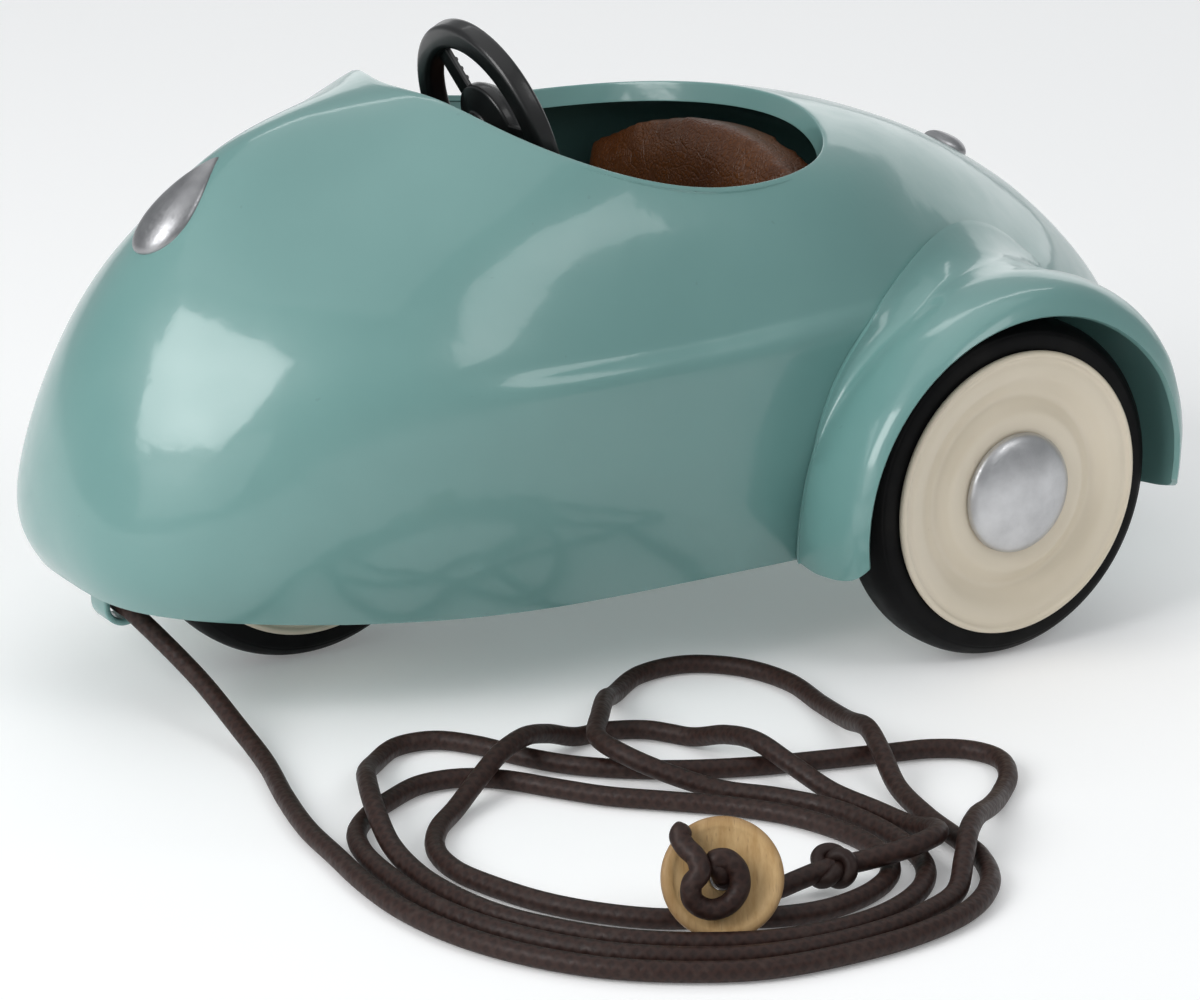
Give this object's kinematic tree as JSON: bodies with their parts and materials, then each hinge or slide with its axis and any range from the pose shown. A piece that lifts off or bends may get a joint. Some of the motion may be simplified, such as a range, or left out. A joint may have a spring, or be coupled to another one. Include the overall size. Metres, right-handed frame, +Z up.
{
  "type": "pull-along toy car",
  "caption": "Teardrop pedal-car style toy with open cockpit, rear wheels under fenders, a wheel under the nose, and a pull cord with a wooden button.",
  "frame": {"origin": "on the floor, under the middle of the car's length and width, without its pull cord", "axes": "+X towards the nose, +Y to the car's left, +Z up"},
  "size_m": [0.2435, 0.2533, 0.1174],
  "materials": {
    "body_paint": "glossy sea-green paint",
    "wheel_paint": "semi-gloss cream paint",
    "silver_paint": "satin silver paint",
    "black_enamel": "glossy black enamel",
    "tyre_rubber": "smooth satin rubber",
    "bare_steel": "satin",
    "seat_leather": "grained brown leather",
    "waxed_cord": "dark brown waxed braid",
    "turned_wood": "plain light wood"
  },
  "bodies": {
    "car": {"body_shell": "body_paint", "button_cord": "waxed_cord", "column_bush": "bare_steel", "cord_knot": "waxed_cord", "dash_plate": "body_paint", "end_knot": "waxed_cord", "fender_left": "body_paint", "fender_right": "body_paint", "floor_pan": "body_paint", "front_axle": "bare_steel", "front_bracket_left": "bare_steel", "front_bracket_left_screw_1": "bare_steel", "front_bracket_left_screw_2": "bare_steel", "front_bracket_right": "bare_steel", "front_bracket_right_screw_1": "bare_steel", "front_bracket_right_screw_2": "bare_steel", "front_push_nut_left": "bare_steel", "front_push_nut_right": "bare_steel", "front_spacer_left": "bare_steel", "front_spacer_right": "bare_steel", "headlamp": "silver_paint", "pull_cord": "waxed_cord", "rear_axle": "bare_steel", "rear_bracket_left": "bare_steel", "rear_bracket_left_screw_1": "bare_steel", "rear_bracket_left_screw_2": "bare_steel", "rear_bracket_right": "bare_steel", "rear_bracket_right_screw_1": "bare_steel", "rear_bracket_right_screw_2": "bare_steel", "rear_push_nut_left": "bare_steel", "rear_push_nut_right": "bare_steel", "rear_spacer_left": "bare_steel", "rear_spacer_right": "bare_steel", "seat_back": "seat_leather", "seat_bench": "body_paint", "seat_cushion": "seat_leather", "staple_knot": "waxed_cord", "tail_lamp": "silver_paint", "tow_staple": "body_paint", "wood_button": "turned_wood"},
    "rear_left_wheel": {"rear_left_bush": "bare_steel", "rear_left_disc_left": "wheel_paint", "rear_left_disc_right": "wheel_paint", "rear_left_hub_cap": "silver_paint", "rear_left_tyre": "tyre_rubber"},
    "rear_right_wheel": {"rear_right_bush": "bare_steel", "rear_right_disc_left": "wheel_paint", "rear_right_disc_right": "wheel_paint", "rear_right_hub_cap": "silver_paint", "rear_right_tyre": "tyre_rubber"},
    "front_wheel": {"front_bush": "bare_steel", "front_disc_left": "wheel_paint", "front_disc_right": "wheel_paint", "front_tyre": "tyre_rubber"},
    "steering": {"column_push_nut": "bare_steel", "steering_column": "bare_steel", "steering_wheel": "black_enamel"}
  },
  "joints": [
    {"name": "rear_left_spin", "type": "hinge", "parent": "car", "child": "rear_left_wheel", "pos_m": [-0.0416, 0.0702, 0.033], "axis": [0, 1, 0], "continuous": true},
    {"name": "rear_right_spin", "type": "hinge", "parent": "car", "child": "rear_right_wheel", "pos_m": [-0.0416, -0.0702, 0.033], "axis": [0, 1, 0], "continuous": true},
    {"name": "front_spin", "type": "hinge", "parent": "car", "child": "front_wheel", "pos_m": [0.0702, 0, 0.033], "axis": [0, 1, 0], "continuous": true},
    {"name": "steering_turn", "type": "hinge", "parent": "car", "child": "steering", "pos_m": [0.027, 0, 0.0964], "axis": [-0.9511, 0, 0.309], "continuous": true}
  ]
}
